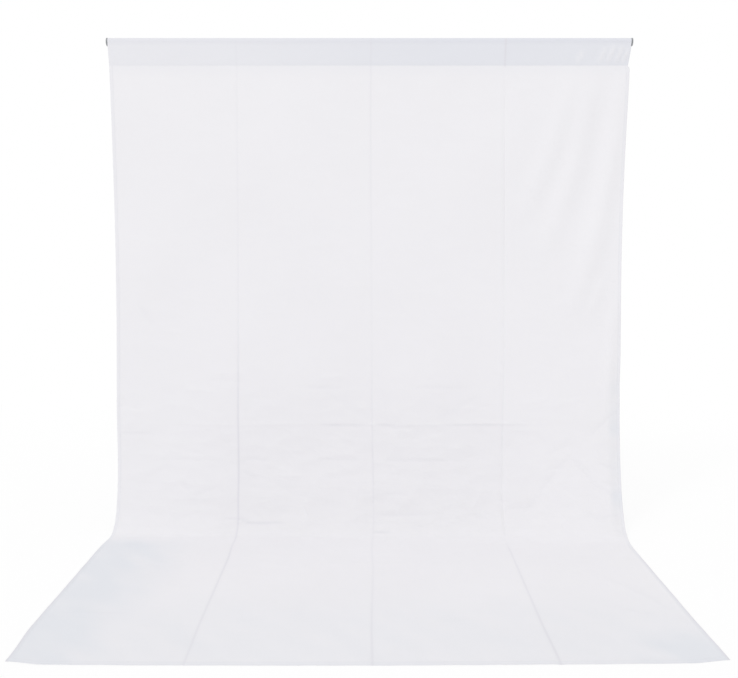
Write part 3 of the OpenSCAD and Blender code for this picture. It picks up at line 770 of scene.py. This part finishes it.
def grained_finish(name, tones, roughness, grain_mm, bump, metallic=0.0, drawn=(1, 1, 1)):
    """A finish whose tone and roughness wander over patches of 17 mm, with a fine bump of grain_mm.

    tones are its darkest and lightest colour, roughness its lowest and highest. drawn stretches the patches
    along an axis, as drawn or rubbed tubes show them.
    """
    patch_mm = 17.0
    material, tree, out = new_material(name)
    place = add(tree, "ShaderNodeTexCoord").outputs["Object"]
    patches = add(tree, "ShaderNodeMapping", {"Vector": place, "Scale": tuple(1 / along for along in drawn)})
    cloud = add(
        tree,
        "ShaderNodeTexNoise",
        {"Vector": patches.outputs[0], "Scale": 1000.0 / patch_mm, "Detail": 5.0, "Roughness": 0.6},
    )
    tone = add(tree, "ShaderNodeValToRGB", {0: cloud.outputs["Fac"]})
    tone.color_ramp.elements[0].position = 0.35
    tone.color_ramp.elements[0].color = linear(tones[0])
    tone.color_ramp.elements[1].position = 0.75
    tone.color_ramp.elements[1].color = linear(tones[1])
    rough = add(
        tree,
        "ShaderNodeMapRange",
        {
            "Value": cloud.outputs["Fac"],
            "From Min": 0.3,
            "From Max": 0.7,
            "To Min": roughness[0],
            "To Max": roughness[1],
        },
    )
    grain = add(tree, "ShaderNodeTexNoise", {"Vector": place, "Scale": 1000.0 / grain_mm, "Detail": 2.0})
    relief = add(
        tree,
        "ShaderNodeBump",
        {"Height": grain.outputs["Fac"], "Strength": bump, "Distance": grain_mm / 4000.0},
    )
    shader = add(
        tree,
        "ShaderNodeBsdfPrincipled",
        {
            "Base Color": tone.outputs["Color"],
            "Metallic": metallic,
            "Roughness": rough.outputs[0],
            "Normal": relief.outputs["Normal"],
        },
    )
    tree.links.new(shader.outputs["BSDF"], out.inputs["Surface"])
    return material


ALONG_X = (12, 1, 1)
ALONG_Z = (1, 1, 12)
FINISHES = {
    # Anodised aluminium tube: satin black metal, drawn lengthways, rubbed by the sliding sections.
    "stand_tube": grained_finish(
        "black_anodised_tube",
        ("#1b1c1f", "#2b2c30"),
        (0.28, 0.42),
        grain_mm=0.5,
        bump=0.05,
        metallic=0.7,
        drawn=ALONG_Z,
    ),
    # Anodised aluminium bar: the same metal, a little duller from the cloth that slides on it.
    "crossbar_tube": grained_finish(
        "black_anodised_bar",
        ("#1d1e21", "#2d2e32"),
        (0.30, 0.45),
        grain_mm=0.5,
        bump=0.05,
        metallic=0.7,
        drawn=ALONG_X,
    ),
    # Powder coat on steel: even black with a fine orange peel.
    "black_steel": grained_finish(
        "black_powder_coat", ("#18181a", "#242427"), (0.42, 0.56), grain_mm=1.2, bump=0.20
    ),
    # Painted steel strap: plain light grey, a little worn.
    "bracket_steel": grained_finish(
        "grey_painted_strap", ("#9c9fa2", "#afb1b4"), (0.40, 0.55), grain_mm=1.0, bump=0.15
    ),
    # Moulded glass-filled nylon: matt black with a fine spark texture.
    "black_plastic": grained_finish(
        "black_moulded_nylon", ("#161618", "#222225"), (0.48, 0.62), grain_mm=0.6, bump=0.22
    ),
    # Moulded rubber: dull, slightly dusty black.
    "foot_rubber": grained_finish(
        "black_rubber", ("#131313", "#262524"), (0.75, 0.9), grain_mm=0.8, bump=0.2
    ),
    # Turned steel, zinc plated: bright with fine tool marks.
    "bright_steel": grained_finish(
        "zinc_plated_steel", ("#a9abae", "#c6c7c9"), (0.22, 0.34), grain_mm=0.4, bump=0.06, metallic=1.0
    ),
}

# Every solid but the cloth gets the finish of its slot, and the brackets their own.
for entry in frame["record"]["subparts"]:
    slot = "bracket_steel" if entry["node"].endswith("_bracket") else entry["material_slot"]
    finish = FINISHES.get(slot)
    if finish:
        solid = nodes[entry["node"]]
        solid.data.materials.clear()
        solid.data.materials.append(finish)

# The cloth

cloth = muslin_sheet(muslin_cloth())
stitches = sewn_stitches(sewing_thread())
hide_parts("backdrop")
for piece in (cloth, stitches):
    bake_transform(piece)

# Stage, light and camera

def seen_directly(tree):
    """1 for rays from the camera, a gloss or a glass, which see plain white, and 0 for rays of light."""
    ray = add(tree, "ShaderNodeLightPath")
    share = ray.outputs["Is Camera Ray"]
    for other in ("Is Glossy Ray", "Is Transmission Ray"):
        both = add(tree, "ShaderNodeMath", {0: share, 1: ray.outputs[other]}, operation="MAXIMUM")
        share = both.outputs[0]
    return share


def stage_floor():
    """A pale floor just under the cloth, which keeps a light shadow near it and runs out to plain white."""
    shadow_from, shadow_to = 1.6, 4.0
    white_share = 0.88
    half_size = 40.0
    sunk = 0.0005
    material, tree, out = new_material("pale_floor")
    place = add(tree, "ShaderNodeTexCoord").outputs["Object"]
    distance = add(tree, "ShaderNodeVectorMath", {0: place}, operation="LENGTH")
    far = add(
        tree,
        "ShaderNodeMapRange",
        {
            "Value": distance.outputs["Value"],
            "From Min": shadow_from,
            "From Max": shadow_to,
            "To Min": white_share,
            "To Max": 1.0,
        },
    )
    matt = add(tree, "ShaderNodeBsdfDiffuse", {"Color": linear("#fcfcfc")})
    white = add(tree, "ShaderNodeEmission", {"Color": (1, 1, 1, 1), "Strength": 1.0})
    share = add(tree, "ShaderNodeMath", {0: seen_directly(tree), 1: far.outputs[0]}, operation="MULTIPLY")
    both = add(tree, "ShaderNodeMixShader", {0: share.outputs[0], 1: matt.outputs[0], 2: white.outputs[0]})
    tree.links.new(both.outputs[0], out.inputs["Surface"])
    corners = half_size * np.array([(-1, -1, 0), (1, -1, 0), (1, 1, 0), (-1, 1, 0)])
    made = mesh_object("floor", corners, [(0, 1, 2, 3)], material)
    made.location = (0, 0, -sunk)


def soft_sun(name, azimuth, elevation, spread, strength):
    """A far, broad lamp. azimuth is left of straight ahead, elevation above the floor, both in degrees."""
    lamp = bpy.data.lights.new(name, "SUN")
    lamp.angle = math.radians(spread)
    lamp.energy = strength
    made = bpy.data.objects.new(name, lamp)
    made.rotation_euler = (math.radians(90 - elevation), 0, math.radians(-azimuth))
    bpy.context.scene.collection.objects.link(made)


def world_light(strength):
    """Even white surroundings for light, plain white where the camera or a gloss sees them."""
    world = bpy.data.worlds.new("studio")
    world.use_nodes = True
    tree = world.node_tree
    tree.nodes.clear()
    level = add(tree, "ShaderNodeMapRange", {"Value": seen_directly(tree), "To Min": strength, "To Max": 1.0})
    glow = add(tree, "ShaderNodeBackground", {"Color": (1, 1, 1, 1), "Strength": level.outputs[0]})
    add(tree, "ShaderNodeOutputWorld", {"Surface": glow.outputs[0]})
    bpy.context.scene.world = world


stage_floor()
world_light(strength=0.862)
soft_sun("key", azimuth=38.0, elevation=40.0, spread=12.0, strength=0.58)

lens = bpy.data.cameras.new("photo_camera")
lens.sensor_width = SENSOR
lens.lens = CAMERA_LENS
camera = bpy.data.objects.new("photo_camera", lens)
camera.location = (CAMERA_X, BAR_Y - CAMERA_BACK, CAMERA_HEIGHT)
camera.rotation_euler = (math.radians(90 - CAMERA_TILT), 0, 0)
bpy.context.scene.collection.objects.link(camera)
bpy.context.scene.camera = camera
bpy.context.scene.view_settings.view_transform = "Standard"
